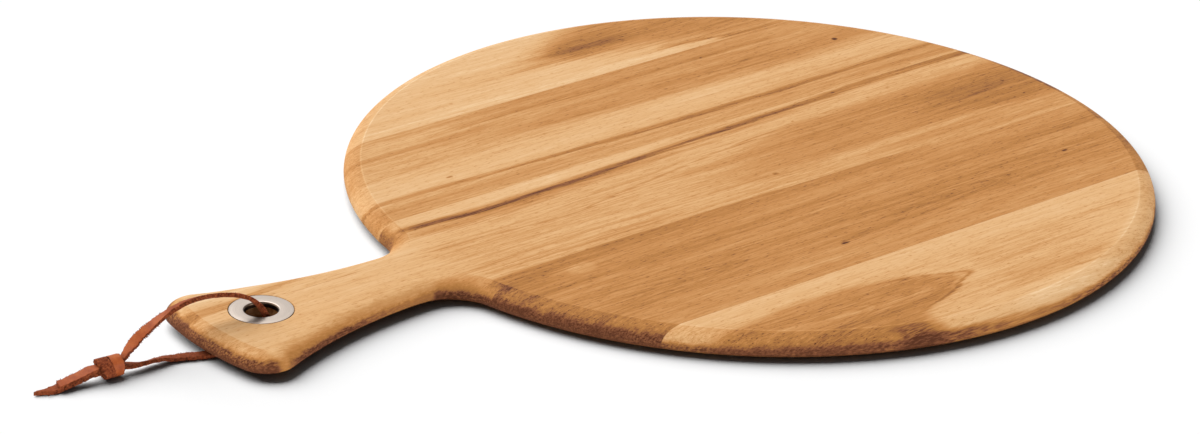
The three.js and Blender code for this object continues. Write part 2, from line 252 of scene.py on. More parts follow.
def place_piece(name, mesh, material, body, node):
    """An object for a finished mesh that rides on a body and stands for a CAD node."""
    mesh.materials.append(material)
    piece = new_object(name, mesh)
    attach(piece, body)
    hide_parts(node)
    return piece


# Camera: where it stands, its angles in degrees, and its lens and sensor in millimetres

CAMERA_PLACE = np.array([-1242.37, -1347.32, 806.97])
CAMERA_TURN = 40.5164
CAMERA_TILT = 24.2908
CAMERA_ROLL = 2.0123
CAMERA_LENS = 127.7147
SENSOR_WIDTH = 36.0


def make_camera():
    """The photograph's view: turned from +Y towards +X, tilted down and rolled a little."""
    turn, tilt, roll = np.radians([CAMERA_TURN, CAMERA_TILT, CAMERA_ROLL])
    forward = np.array([np.sin(turn) * np.cos(tilt), np.cos(turn) * np.cos(tilt), -np.sin(tilt)])
    level = np.array([np.cos(turn), -np.sin(turn), 0])
    upright = np.array([np.sin(turn) * np.sin(tilt), np.cos(turn) * np.sin(tilt), np.cos(tilt)])
    right = level * np.cos(roll) + upright * np.sin(roll)
    up = upright * np.cos(roll) - level * np.sin(roll)
    lens = bpy.data.cameras.new("photo_camera")
    lens.sensor_fit = "HORIZONTAL"
    lens.sensor_width = SENSOR_WIDTH
    lens.lens = CAMERA_LENS
    camera = new_object("photo_camera", lens)
    aim(camera, right, up, -forward, CAMERA_PLACE * MM)
    bpy.context.scene.camera = camera


# Leather lace

# Noise in turns for each millimetre, and colours of the grain side and of the flesh side
HIDE_BLOTCHES = 0.22
HIDE_PEBBLES = 1.6
HIDE_NAP = 1.1
BLOTCH_SHARE = 0.7  # of the grain side's changes of colour; the pebbles make the rest
GRAIN_SIDE = [(0.3, "#883f20"), (0.5, "#a04f27"), (0.7, "#b36130")]
FLESH_SIDE = [(0.3, "#471c0e"), (0.5, "#79381e"), (0.7, "#a55a33")]
PEBBLE_RELIEF = 0.25  # against that of the nap
HIDE_RELIEF = 0.4  # millimetres
LEATHER_ROUGHNESS = (0.55, 0.9)  # grain side and flesh side

SPAN_STEPS = 40  # of the curve between two points of a route
SECTION_POWERS = (0.12, 0.25)  # how square the strip's section is across it and through it
EDGE_WAVES = (0.10, 9)  # size, and spacing in steps, of the cut edges' waves and nicks
EDGE_NICKS = (0.22, 2)
WORN_SWELL = 0.4  # share that a worn stretch is thicker by
UNEVEN = (0.06, 4)  # share, and spacing in steps, of the uneven thickness
ROUGH_EDGE = (0.93, 0.98)  # shares of the half width where the rough edge begins and is full
FLESH_ROUGH = 0.75  # with 1 for a cut edge

# Loose fibres at the cut edges, drawn as coarse as they need to be to show
FIBRE_RADIUS = 0.22
FIBRE_LENGTH = (-0.75, 0.4)  # mean and spread of its logarithm
FIBRE_LIMITS = (0.25, 0.9)
FIBRE_SHARES = (0.0, 0.55, 1.0)  # of the length, where the three rings of a fibre lie
FIBRE_TAPER = (1.0, 0.7, 0.15)  # and their shares of its radius
FIBRE_ROOT = 0.1  # depth inside the edge
FIBRE_LEVEL = 0.8  # largest share up or down, for where a fibre starts and for the way it points
FIBRE_HEIGHT = 0.6  # millimetres over the edge's middle that a share of 1 stands for
FIBRE_OUT = (0.4, 1.0)  # shares straight out of the edge
FIBRE_SPREAD = 0.3  # of the share up or down
FIBRE_LEAN = 0.5  # spread of the share along the lace
ASKEW = np.array([0.31, 0.53, 0.79])  # a direction that no fibre takes
LOOP_FIBRES = 2000
KNOT_FIBRES = 260
TAIL_FIBRES = 220

# The knot's turns: degrees round its axis, and millimetres along it
KNOT_TURNS = (-50, 690)
KNOT_CROSSING = (280, 385)
KNOT_STEPS = 240
FIRST_TURN_SHIFT = -1.7
SECOND_TURN_SHIFT = 2.6
SECOND_TURN_SLANT = 1.5
SECOND_TURN_SINK = 0.06  # share of the radius
KNOT_WIDTH = 5.4
SECOND_TURN_LOSS = 0.5  # millimetres of that width

# The loop's width and wear, by distance from the knot
LACE_SEED = 5
PINCHED_SHARE = 0.62  # of the width, where the knot grips it
PINCHED = (4, 14)  # from where to where it widens out again
ARCH = (26, 40, 70, 80)  # where the wear of the arch comes in and goes out
ARCH_WEAR = 0.6
LOW_STRAND = (8, 26)  # from the loop's other end
LOW_STRAND_WEAR = 0.8
UPPER_TAIL_WEAR = 0.0
LOWER_TAIL_WEAR = 0.6


def lace_leather():
    """Vegetable-tanned cowhide lace, cut by machine: a smooth tan grain side, the rest fuzzy and darker."""
    material, tree = new_material("tan_leather_lace")
    place = add(tree, "TexCoord").outputs["Object"]
    point = add(tree, "VectorMath", [place, (TO_MM,) * 3], operation="MULTIPLY")
    rough = add(tree, "Attribute", attribute_name="rough").outputs["Fac"]
    blotch = add(tree, "TexNoise", {"Vector": point, "Scale": HIDE_BLOTCHES, "Detail": 3})
    pebble = add(tree, "TexNoise", {"Vector": point, "Scale": HIDE_PEBBLES, "Detail": 3})
    nap = add(tree, "TexNoise", {"Vector": point, "Scale": HIDE_NAP, "Detail": 4, "Roughness": 0.7})
    tone = add(tree, "Math", [blotch, BLOTCH_SHARE], operation="MULTIPLY")
    tone = add(tree, "Math", [pebble, 1 - BLOTCH_SHARE, tone], operation="MULTIPLY_ADD")
    grain = add(tree, "ValToRGB", [tone], GRAIN_SIDE)
    flesh = add(tree, "ValToRGB", [nap], FLESH_SIDE)
    colour = add(tree, "Mix", {0: rough, 6: grain, 7: flesh}, data_type="RGBA")
    height = add(tree, "Math", [nap, rough], operation="MULTIPLY")
    height = add(tree, "Math", [pebble, PEBBLE_RELIEF, height], operation="MULTIPLY_ADD")
    bump = add(tree, "Bump", {"Height": height, "Strength": 0.6, "Distance": HIDE_RELIEF * MM})
    gloss = add(tree, "MapRange", [rough, 0, 1, *LEATHER_ROUGHNESS])
    shader = add(tree, "BsdfPrincipled", {
        "Base Color": colour.outputs[2], "Roughness": gloss, "Normal": bump, "Specular IOR Level": 0.15})
    add(tree, "OutputMaterial", [shader])
    return material


def smooth_path(route, step):
    """A centripetal Catmull-Rom curve through the route's first three columns, at even steps of its length.

    Each span is the cubic Hermite curve whose end tangents come from spacings of the square root of length.
    The further columns are carried along by length. Returns points and carried values.
    """
    knots = route[:, :3]
    ends = np.vstack([2 * knots[0] - knots[1], knots, 2 * knots[-1] - knots[-2]])
    p0, p1, p2, p3 = ends[:-3], ends[1:-2], ends[2:-1], ends[3:]
    gap = np.sqrt(np.linalg.norm(np.diff(ends, axis=0), axis=1))[:, None]
    d0, d1, d2 = gap[:-2], gap[1:-1], gap[2:]
    m1 = d1 * ((p1 - p0) / d0 - (p2 - p0) / (d0 + d1) + (p2 - p1) / d1)
    m2 = d1 * ((p2 - p1) / d1 - (p3 - p1) / (d1 + d2) + (p3 - p2) / d2)
    t = (np.arange(SPAN_STEPS) / SPAN_STEPS)[None, :, None]
    spans = (
        (2 * t**3 - 3 * t**2 + 1) * p1[:, None] + (t**3 - 2 * t**2 + t) * m1[:, None]
        + (3 * t**2 - 2 * t**3) * p2[:, None] + (t**3 - t**2) * m2[:, None])
    fine = np.vstack([spans.reshape(-1, 3), knots[-1:]])
    length = np.concatenate([[0], np.cumsum(np.linalg.norm(np.diff(fine, axis=0), axis=1))])
    at = np.linspace(0, length[-1], int(length[-1] / step) + 1)
    points = np.column_stack([np.interp(at, length, fine[:, k]) for k in range(3)])
    carried = [np.interp(at, length[::SPAN_STEPS], column) for column in route[:, 3:].T]
    return points, carried


def ragged(count, spacing, rng):
    """Smooth random values about 0, one for each step of a path, with bumps of the given spacing in steps."""
    coarse = rng.normal(size=count // spacing + 3)
    return np.interp(np.arange(count) / spacing, np.arange(len(coarse)), coarse)


def cut_edge(count, rng):
    """How far a cut edge stands out at each step of a path: long waves and short nicks, added up."""
    return sum(size * ragged(count, spacing, rng) for size, spacing in (EDGE_WAVES, EDGE_NICKS))


def fibres(roots, ways, lengths, first):
    """Loose fibres: closed three-sided tapers from each root along its way, numbered from a first vertex."""
    share = np.array(FIBRE_SHARES)[None, :, None, None]
    radius = np.array(FIBRE_TAPER)[None, :, None, None] * FIBRE_RADIUS
    side = unit(np.cross(ways, ASKEW))
    other = np.cross(ways, side)
    angle = (np.arange(3) * 2 * np.pi / 3)[None, :, None]
    ring = np.cos(angle) * side[:, None] + np.sin(angle) * other[:, None]
    centre = roots[:, None, None] + ways[:, None, None] * lengths[:, None, None, None] * share
    points = (centre + ring[:, None] * radius).reshape(-1, 3)
    base = first + 9 * np.arange(len(roots))[:, None, None]
    quads = (grid_faces(3, 3)[None] + base).reshape(-1, 4)
    caps = (np.array([[0, 2, 1], [6, 7, 8]])[None] + base).reshape(-1, 3)
    return points, quads.tolist() + caps.tolist()


def edge_fibres(points, along, across, up, width, count, first, rng):
    """Loose fibres at random places of a strip's two cut edges, pointing out of them and a little astray."""
    ring = rng.integers(1, len(points) - 1, count)
    side = rng.choice([-1.0, 1.0], count)[:, None]
    level = rng.uniform(-FIBRE_LEVEL, FIBRE_LEVEL, count)[:, None]
    roots = points[ring] + across[ring] * side * (width[ring, None] / 2 - FIBRE_ROOT)
    roots = roots + up[ring] * level * FIBRE_HEIGHT
    ways = across[ring] * side * rng.uniform(*FIBRE_OUT, (count, 1))
    ways = ways + up[ring] * (level + rng.normal(0, FIBRE_SPREAD, (count, 1)))
    ways = unit(ways + along[ring] * rng.normal(0, FIBRE_LEAN, (count, 1)))
    lengths = np.clip(rng.lognormal(*FIBRE_LENGTH, count), *FIBRE_LIMITS)
    return fibres(roots, ways, lengths, first)


def strip(points, twist, hint, width, rough, cut, grain, fuzz, rng):
    """A flat lace along points: a rounded rectangle whose width lies near a hint, turned by the twist.

    The section is w = W/2 sgn(cos a)|cos a|^p and t = T/2 sgn(sin a)|sin a|^q, with p and q the section's
    powers. Both edges are ragged and carry loose fibres, and the sections lean towards a slanting cut at the
    end. Returns vertices, faces and each vertex's roughness.
    """
    along = unit(np.gradient(points, axis=0))
    across = unit(hint - along * (along @ hint)[:, None])
    up = np.cross(along, across)
    turn = np.radians(twist)[:, None]
    across, up = across * np.cos(turn) + up * np.sin(turn), up * np.cos(turn) - across * np.sin(turn)
    angle = 2 * np.pi * (np.arange(LACE_SIDES) + 0.5) / LACE_SIDES
    w = np.sign(np.cos(angle)) * np.abs(np.cos(angle)) ** SECTION_POWERS[0]
    t = np.sign(np.sin(angle)) * np.abs(np.sin(angle)) ** SECTION_POWERS[1]
    count = len(points)
    edge = np.where(w > 0, cut_edge(count, rng)[:, None], cut_edge(count, rng)[:, None])
    half = width[:, None] / 2 * w + edge * w * np.abs(w) ** 3
    swell = 1 + WORN_SWELL * rough + UNEVEN[0] * ragged(count, UNEVEN[1], rng)
    thick = LACE_THICKNESS / 2 * swell[:, None] * t
    to_end = np.linalg.norm(np.diff(points, axis=0), axis=1)[::-1].cumsum()[::-1]
    lean = np.maximum(0, 1 - np.append(to_end, 0) / TAIL_CUT_REACH) * cut / LACE_WIDTH
    vertices = (
        points[:, None] + across[:, None] * half[..., None] + up[:, None] * thick[..., None]
        + along[:, None] * (lean[:, None] * half)[..., None])
    roughness = np.maximum(smoothstep(np.abs(w), *ROUGH_EDGE), FLESH_ROUGH * (t * grain < 0))
    roughness = np.maximum(roughness[None], rough[:, None])
    faces = ring_faces(count, LACE_SIDES, True)
    hairs, hair_faces = edge_fibres(points, along, across, up, width, fuzz, count * LACE_SIDES, rng)
    everything = np.vstack([vertices.reshape(-1, 3), hairs])
    return everything, faces + hair_faces, np.concatenate([roughness.ravel(), np.ones(len(hairs))])


def lace_piece(name, shape, material, node):
    """A piece of lace from strip()'s vertices, faces and roughness, moved to the eyelet's axis."""
    vertices, faces, roughness = shape
    vertices = vertices + np.array([EYELET_X, EYELET_Y, 0])
    vertices[:, 2] = np.maximum(vertices[:, 2], LACE_LOWEST)
    mesh = new_mesh(name, vertices, faces)
    finish_mesh(mesh, LACE_CREASE)
    layer = mesh.attributes.new("rough", "FLOAT", "POINT")
    layer.data.foreach_set("value", roughness.astype(np.float32))
    return place_piece(name, mesh, material, "lace", node)


def knot_path():
    """Two turns round the knot's axis: a square one on the loop's side, then a slanted one by the tails.

    A point is the centre plus the axis times c(a) plus r(a) times the direction at angle a, where c goes
    from a constant to a constant plus a sine as a passes the hidden far side.
    """
    angle = np.radians(np.linspace(*KNOT_TURNS, KNOT_STEPS))
    axis = unit(KNOT_AXIS)
    up = np.array([0, 0, 1.0])
    side = np.cross(axis, up)
    second = smoothstep(angle, *np.radians(KNOT_CROSSING))
    slanted = SECOND_TURN_SHIFT + SECOND_TURN_SLANT * np.sin(angle)
    shift = FIRST_TURN_SHIFT * (1 - second) + slanted * second
    radius = KNOT_RADIUS * (1 - SECOND_TURN_SINK * second)
    points = KNOT_CENTRE + axis * shift[:, None] + radius[:, None] * (
        side * np.cos(angle)[:, None] + up * np.sin(angle)[:, None])
    return points, second


def make_lace():
    """The loop, the knot and the two tails of one leather lace."""
    leather = lace_leather()
    rng = np.random.default_rng(LACE_SEED)
    far_side = np.array([0, 1.0, 0])
    path, (twist,) = smooth_path(LOOP_ROUTE, LACE_STEP)
    from_knot = np.arange(len(path)) * LACE_STEP
    to_end = from_knot[::-1]
    width = LACE_WIDTH * (PINCHED_SHARE + (1 - PINCHED_SHARE) * smoothstep(from_knot, *PINCHED))
    arch = smoothstep(from_knot, *ARCH[:2]) * (1 - smoothstep(from_knot, *ARCH[2:]))
    worn = np.maximum(LOW_STRAND_WEAR * (1 - smoothstep(to_end, *LOW_STRAND)), ARCH_WEAR * arch)
    shape = strip(path, twist, far_side, width, worn, 0, 1, LOOP_FIBRES, rng)
    loop = lace_piece("leather_loop", shape, leather, "lace_loop")
    turns, second = knot_path()
    width = KNOT_WIDTH - SECOND_TURN_LOSS * second
    shape = strip(turns, 0 * second, -KNOT_AXIS, width, second, 0, 1, KNOT_FIBRES, rng)
    knot = lace_piece("leather_knot", shape, leather, "lace_knot")
    for name, node, route, cut, wear in [
            ("leather_tail_upper", "lace_tail_upper", UPPER_TAIL_ROUTE, UPPER_TAIL_CUT, UPPER_TAIL_WEAR),
            ("leather_tail_lower", "lace_tail_lower", LOWER_TAIL_ROUTE, LOWER_TAIL_CUT, LOWER_TAIL_WEAR)]:
        line, (twist,) = smooth_path(route, LACE_STEP)
        flat = np.full(len(line), LACE_WIDTH)
        worn = np.full(len(line), wear)
        shape = strip(line, twist, far_side, flat, worn, cut, -1, TAIL_FIBRES, rng)
        lace_piece(name, shape, leather, node)


# Wood

# Figures of the staves, in the frame's millimetres. Tones go from 0, pale sapwood, to 1, the darkest heart.
# A growth line is a place across the board, or points of places along and across it.
# Ends are four places along: a mark comes in from the first to the second and goes out over the last two.
# zones: two growth lines, softness, change of tone, ends
# streaks: growth line, half width, change of tone, ends
# pins, for pin knots: place along and across, half length, half width, change of tone
# loops, for cathedral grain: tip along and across, width, reach, change of tone
# lows, for stains and painted shade low on the rim: height, softness, tone, ends, and two growth lines beside
# it
# run: how many turns the noise of the stains and painted shade makes along the fibre for one across it
# blotch: how many millimetres the upper border of the stains and painted shade goes up and down
# end, arris: change of tone on end grain, and on the top edge, whose pale line is rubbed wear and a painted
# highlight
FAR_OUTER = dict(
    tone=0.20,
    end=0.12,
    arris_wear_and_highlight=-0.14,
    zones=[
        (((-30, 152), (-8, 153.5), (10, 147), (30, 142), (55, 138), (75, 131), (95, 125.5), (140, 123)),
         ((-30, 152.5), (-8, 158), (5, 163), (20, 172), (35, 181), (60, 200), (140, 215)),
         13, 0.42, (-85, 30, 190, 200)),
    ],
    streaks=[
        (((-12, 152), (0, 151), (12, 150), (25, 147)), 11, 0.08, (-30, 0, 12, 40)),
        (((0, 160), (15, 158), (35, 158), (60, 160)), 13, 0.14, (-10, 12, 40, 65)),
        (((60, 133), (80, 129.5), (100, 126), (135, 124.5)), 2.2, 0.25, (50, 70, 120, 145)),
        (149, 3, 0.10, (-90, -60, -10, 5)),
        (143, 2, 0.05, (-90, -60, -10, 5)),
    ],
)
FAR_INNER = dict(
    tone=0.38,
    end=0.10,
    arris_wear_and_highlight=-0.10,
    zones=[
        (((-180, 98), (-100, 92), (-40, 86), (0, 84), (60, 84), (120, 82), (180, 84)), None,
         8, 0.13, (-140, -20, 190, 200)),
        (62, 80, 5, -0.12, None),
        (44, 57.5, 2, 0.10, None),
        (60, None, 5, 0.06, (30, 85, 190, 200)),
    ],
    streaks=[
        (110.5, 3, 0.14, (-100, -80, 100, 125)),
        (104, 2.5, 0.14, (-170, -150, -80, -65)),
        (95, 3, 0.10, (10, 30, 90, 105)),
        (((-175, 60), (-150, 60.5), (-120, 59.5), (-90, 58), (-60, 57.5), (-20, 57), (20, 57), (60, 57.5),
          (100, 58), (140, 58.5), (175, 58.5)), 3.0, 0.29, None),
        (((-170, 52), (0, 51), (170, 50)), 1.0, 0.07, None),
    ],
    pins=[(-126, 67, 2.4, 1.5, 0.5), (137, 91, 2.2, 1.4, 0.45)],
)
CENTRE = dict(
    tone=0.36,
    end=0.18,
    blotch=3.5,
    zones=[
        (None, None, 1, -0.115, (-400, -390, -200, -170)),
        (((-195, 33.5), (-150, 33), (-100, 34), (-50, 36), (0, 39)), None, 1.5, -0.17, (-230, -190, -40, 15)),
        (((-185, 22), (-120, 20), (-60, 24), (0, 28), (60, 31)), ((-185, 31), (0, 34), (60, 36)), 4, 0.12,
         (-190, -170, 20, 80)),
        (((-60, -12), (0, -19), (60, -18), (100, -17), (150, -21), (190, -24)),
         ((-60, 6), (0, 12), (50, 20), (100, 22), (190, 24)), 5, 0.26, (-70, 60, 195, 200)),
        (-40, -18, 5, 0.11, (30, 90, 195, 200)),
        (-12, 12, 6, 0.14, (85, 140, 195, 200)),
        (None, ((-200, -34), (-178, -33.5), (-150, -32), (-60, -31.5), (0, -32.5), (50, -34), (120, -36),
                (190, -36)), 0.5, 0.32, (-190, -176, 30, 120)),
        (((-320, 9), (-290, 12), (-262, 17), (-220, 20)),
         ((-320, 18), (-290, 17.5), (-262, 20.5), (-220, 22)), 2, 0.30, (-320, -312, -235, -210)),
        (20, None, 3, -0.06, (-330, -320, -280, -255)),
    ],
    streaks=[
        (((-178, 33), (-160, 31.5), (-140, 29.5), (-120, 29), (-100, 29.5), (-80, 30), (-60, 31), (-40, 32.5),
          (-20, 34), (0, 35), (40, 36.5), (80, 38), (120, 40), (176, 39.5)),
         3.6, 0.41, (-190, -174, 190, 200)),
        (23, 1, 0.15, (-180, -165, -115, -95)),
        (20, 1, 0.13, (-180, -165, -115, -95)),
        (((-200, 7), (-160, 6), (-130, 3.5), (-105, 2), (-90, 4), (-60, 9), (-30, 13), (0, 17), (25, 19.5),
          (60, 21)), 0.9, 0.17, (-200, -180, 40, 65)),
        (((-110, 12), (-60, 15), (-20, 19)), 0.9, 0.10, (-115, -95, -35, -15)),
        (((135, -3), (155, -1), (172, 1)), 2, 0.07, (125, 142, 165, 180)),
        (-17.5, 1.4, 0.12, (-60, -25, -4, 3)),
        (-18, 1, 0.16, (-185, -165, -80, -55)),
        (-24, 1, 0.14, (-185, -165, -80, -55)),
        (-26.5, 0.8, 0.14, (-185, -165, -80, -55)),
        (((-262, 10), (-245, 8.8), (-222, 9.2)), 0.9, 0.30, (-265, -255, -230, -215)),
        (((-250, 11), (-225, 13)), 0.8, 0.15, (-255, -245, -230, -215)),
    ],
    pins=[(0, -17.5, 2.2, 1.4, 0.25)],
    lows=[
        # The first five darken the handle's near flank and its end low down, partly as stain and partly as
        # painted shade; the last is an end-grain spot at the far root.
        (11.0, 2, 0.56, (-306, -292, -190, -180), None, -9),
        (9.8, 1.0, 0.81, (-330, -320, -301, -291), None, None),
        (6.8, 1.6, 0.81, (-330, -320, -301, -291), None, None),
        (7.6, 2, 0.86, (-236, -200, -180, -174), None, -12),
        (7.8, 1.0, 0.84, (-300, -285, -205, -195), None, -12),
        (10.0, 2, 0.74, (-205, -191, -181, -175), 25, None),
    ],
)
NEAR_INNER = dict(
    tone=0.60,
    end=0.14,
    zones=[
        (-60, -50, 3, 0.10, None),
        (None, -98, 5, -0.02, (-200, -190, -80, -20)),
        (((-182, -46), (-168, -47), (-150, -44)), None, 3, 0.14, (-190, -182, -165, -148)),
    ],
    loops=[(-72, -82, 1.3, 90, 0.12), (92, -84, 1.0, 90, 0.10)],
    pins=[(-26, -95, 3.4, 2.2, 0.4), (131, -77, 2.6, 1.5, 0.35), (-140, -45, 10, 6, -0.15)],
    lows=[
        # Darker low on the near rim, partly as stain and partly as painted shade.
        (((-188, 7.8), (-170, 8.8), (-145, 9.8)), 1.8, 0.86, (-200, -192, -60, -40), None, None),
    ],
)
NEAR_OUTER = dict(
    tone=0.335,
    end=0.10,
    run=0.05,
    blotch=4.5,
    arris_wear_and_highlight=-0.10,
    zones=[
        (-128, None, 5, -0.08, None),
        (((-140, -185), (-90, -180), (-60, -172), (-45, -167), (-20, -158), (-2, -150)),
         ((-140, -133), (-120, -132), (-80, -130), (-40, -135), (-20, -142), (-2, -148.5)),
         4, 0.31, (-200, -150, -24, 5)),
        (-170, -138, 8, 0.08, (0, 15, 60, 90)),
        # A paler band on the right shoulder, following the rim: paler wood, and painted light on the
        # shoulder.
        (None, ((-10, -184), (0, -181), (60, -170), (100, -150), (140, -115)), 3, -0.12, (-20, 10, 100, 145)),
    ],
    loops=[(2, -150, 2.2, 110, 0.10)],
    streaks=[
        (((-50, -135), (-20, -142), (-2, -148.5)), 1.2, 0.20, (-60, -30, -3, 3)),
        (((-50, -168), (-20, -158), (-2, -150)), 1.4, 0.26, (-60, -30, -3, 3)),
        (((-110, -145), (-80, -149), (-50, -152), (-20, -151)), 2, -0.12, (-120, -100, -35, -15)),
    ],
    lows=[
        # Darker low along the whole near rim, partly as stain and partly as painted shade; the next row is a
        # dark knot.
        (((-155, 6.2), (-130, 6.8), (-110, 7.8), (-80, 8), (-60, 8.6), (-45, 9), (-30, 8.6), (0, 8),
          (45, 7.4), (90, 7.2), (150, 7.0)), 1.5, 0.89, (-165, -158, 160, 175), None, None),
        (12.4, 1.2, 0.90, (-74, -65, -55, -42), None, -169),
    ],
)
WOOD_STOPS = [
    (0.00, "#e9c99e"), (0.15, "#deb586"), (0.30, "#d8aa77"), (0.45, "#ca9660"), (0.60, "#bd844d"),
    (0.72, "#ae7740"), (0.82, "#9e6a3b"), (0.92, "#7f4e34"), (1.00, "#56311f"),
]
GRAIN_LEAN = 0.35  # how far the growth layers lean across the board for each millimetre of height
GRAIN_WANDER = 5.0  # millimetres across the board within which the growth lines wander
SEED_SHIFT = 1000.0  # millimetres along the fibre from one stave's noise to the next one's
# Noise is given by its turns for each millimetre along, across and up; grain also by octaves and darkness
WANDER = (0.006, 0.02, 0.02)
GRAIN_LAYERS = [
    ((0.003, 0.05, 0.05), 2, 0.14),
    ((0.007, 0.28, 0.28), 3, 0.12),
    ((0.020, 0.80, 0.80), 4, 0.19),
    ((0.100, 1.70, 1.70), 4, 0.23),
]
PORES = (0.30, 1.9, 1.9)  # coarser than real ones, so that they show
PORE_LEVELS = (0.60, 0.74)  # of the noise, where a pore begins and is full
PORE_TONE = 0.24
PORE_RELIEF = -0.6  # against that of the third layer of grain
FEATHER_COARSE = 6.0  # millimetres that the second and the third layer push the borders of marks about
FEATHER_FINE = 5.0
STREAK_CORE = 0.2  # share of a streak's half width that has its full tone
PIN_CORE = 0.1  # share of a pin knot's area that has its full tone
LOOP_SPACING = 9.0  # between the lines of cathedral grain
LOOP_LEVELS = (0.42, 0.68)
LOOP_TIP = 4.0  # length that the lines come in over
SPECKS = 1.2  # turns for each millimetre across the fibre, in the stains and painted shade
SPECK_LEVELS = (0.36, 0.60)
SPECK_LEAST = 0.66  # share of a stain between its specks
BLOTCHES = 0.25  # turns for each millimetre across the fibre, at the upper borders of the stains and painted shade
BLOTCH_RUN = 3.0  # how much more the blotches turn along the fibre than the specks do
STAIN_AND_SHADE_SIDE = 3.0  # softness of the side borders of the stains and painted shade
PAINTED_FLOOR_LIGHT_TOP = (2.4, 1.6)  # heights where the pale line of painted light from the floor along the lower rim comes in
PAINTED_FLOOR_LIGHT_FOOT = (0.02, 0.3)  # and where it leaves the flat underside
PAINTED_FLOOR_LIGHT_TONE = -0.45
ARRIS_WEAR_AND_HIGHLIGHT_TILT = (0.9997, 0.997)  # upward share of the normal where the top edge turns down, for its pale line of rubbed wear and painted highlight
ARRIS_WEAR_AND_HIGHLIGHT_DEPTH = (0.2, 0.08)  # below the top face
END_GRAIN = (0.05, 0.25)  # share of the normal along the fibre where end grain begins and is full
GRAIN_RELIEF = 0.12  # millimetres
WOOD_ROUGHNESS = (0.54, 0.66)


def growth_line(tree, along, line):
    """Where a growth line lies across the board: a number, or a smooth curve through its points."""
    if np.isscalar(line):
        return line
    points = np.array(line, float)
    low, high = points.min(axis=0), points.max(axis=0)
    reach = np.maximum(high - low, 1e-3)
    share = add(tree, "MapRange", [along, low[0], high[0]])
    bent = add(tree, "FloatCurve", {1: share})
    curve = bent.mapping.curves[0]
    spots = (points - low) / reach
    curve.points[0].location = spots[0]
    curve.points[1].location = spots[-1]
    for spot in spots[1:-1]:
        curve.points.new(*spot)
    bent.mapping.update()
    return add(tree, "Math", [bent, reach[1], low[1]], operation="MULTIPLY_ADD").outputs[0]


def faded(tree, mask, along, ends):
    """A mask that comes in and goes out between four distances along the board."""
    if ends is None:
        return mask
    coming = add(tree, "MapRange", [along, ends[0], ends[1]], interpolation_type="SMOOTHSTEP")
    going = add(tree, "MapRange", [along, ends[3], ends[2]], interpolation_type="SMOOTHSTEP")
    both = add(tree, "Math", [coming, going], operation="MULTIPLY")
    return add(tree, "Math", [mask, both], operation="MULTIPLY")


def zone_mask(tree, along, across, low, high, soft):
    """1 between two growth lines, with soft borders; a line that is None leaves that side open."""
    mask = 1.0
    for line, way in [(low, 1.0), (high, -1.0)]:
        if line is None:
            continue
        inside = add(tree, "Math", [across, growth_line(tree, along, line)], operation="SUBTRACT")
        border = add(tree, "MapRange", [inside, -way * soft, way * soft], interpolation_type="SMOOTHSTEP")
        mask = add(tree, "Math", [border, mask], operation="MULTIPLY")
    return mask


def streak_mask(tree, along, across, line, half):
    """1 on a growth line, fading to 0 at half the streak's width."""
    aside = add(tree, "Math", [across, growth_line(tree, along, line)], operation="SUBTRACT")
    aside = add(tree, "Math", [aside], operation="ABSOLUTE")
    return add(tree, "MapRange", [aside, half, STREAK_CORE * half], interpolation_type="SMOOTHSTEP")


def pin_mask(tree, along, across, x, y, long, wide):
    """1 in a pin knot's ellipse, whose soft border is (dx / a)^2 + (dy / b)^2 from 1 to the core."""
    square = 0.0
    for value, middle, half in [(along, x, long), (across, y, wide)]:
        share = add(tree, "Math", [value, -middle], operation="ADD")
        share = add(tree, "Math", [share, 1 / half], operation="MULTIPLY")
        square = add(tree, "Math", [share, share, square], operation="MULTIPLY_ADD")
    return add(tree, "MapRange", [square, 1.0, PIN_CORE], interpolation_type="SMOOTHSTEP")


def loop_mask(tree, along, across, x, y, width, reach):
    """Nested cathedral loops: uneven lines of the parabolas that open to the left of a tip."""
    dy = add(tree, "Math", [across, -y], operation="ADD")
    square = add(tree, "Math", [dy, dy], operation="MULTIPLY")
    inside = add(tree, "Math", [square, -1 / width, x], operation="MULTIPLY_ADD")
    inside = add(tree, "Math", [inside, along], operation="SUBTRACT")
    turns = add(tree, "Math", [inside, 1 / LOOP_SPACING], operation="MULTIPLY")
    lines = add(tree, "TexNoise", {"W": turns, "Scale": 1.0, "Detail": 2}, noise_dimensions="1D")
    lines = add(tree, "MapRange", [lines, *LOOP_LEVELS], interpolation_type="SMOOTHSTEP")
    return faded(tree, lines, inside, (0, LOOP_TIP, reach / 2, reach))


def fibre_place(tree, seed):
    """Where a point lies in the wood: along, across the growth layers and up, and these as one vector.

    Across is y + lean (z - thickness) + wander (n - 1/2), with n a slow noise. Each stave's vector starts far
    along from the others'.
    """
    place = add(tree, "TexCoord").outputs["Object"]
    point = add(tree, "VectorMath", [place, (TO_MM,) * 3], operation="MULTIPLY")
    along, level, up = add(tree, "SeparateXYZ", [point]).outputs
    apart = add(tree, "VectorMath", [point, (SEED_SHIFT * seed, 0, 0)], operation="ADD")
    slow = add(tree, "VectorMath", [apart, WANDER], operation="MULTIPLY")
    wander = add(tree, "TexNoise", {"Vector": slow, "Scale": 1.0, "Detail": 2})
    across = add(tree, "Math", [up, GRAIN_LEAN, level], operation="MULTIPLY_ADD")
    across = add(tree, "Math", [wander, GRAIN_WANDER, across], operation="MULTIPLY_ADD")
    middle = GRAIN_WANDER / 2 + GRAIN_LEAN * THICKNESS
    across = add(tree, "Math", [across, middle], operation="SUBTRACT")
    start = add(tree, "Math", [along, SEED_SHIFT * seed], operation="ADD")
    fibre = add(tree, "CombineXYZ", [start, across, up])
    return along, across, up, fibre


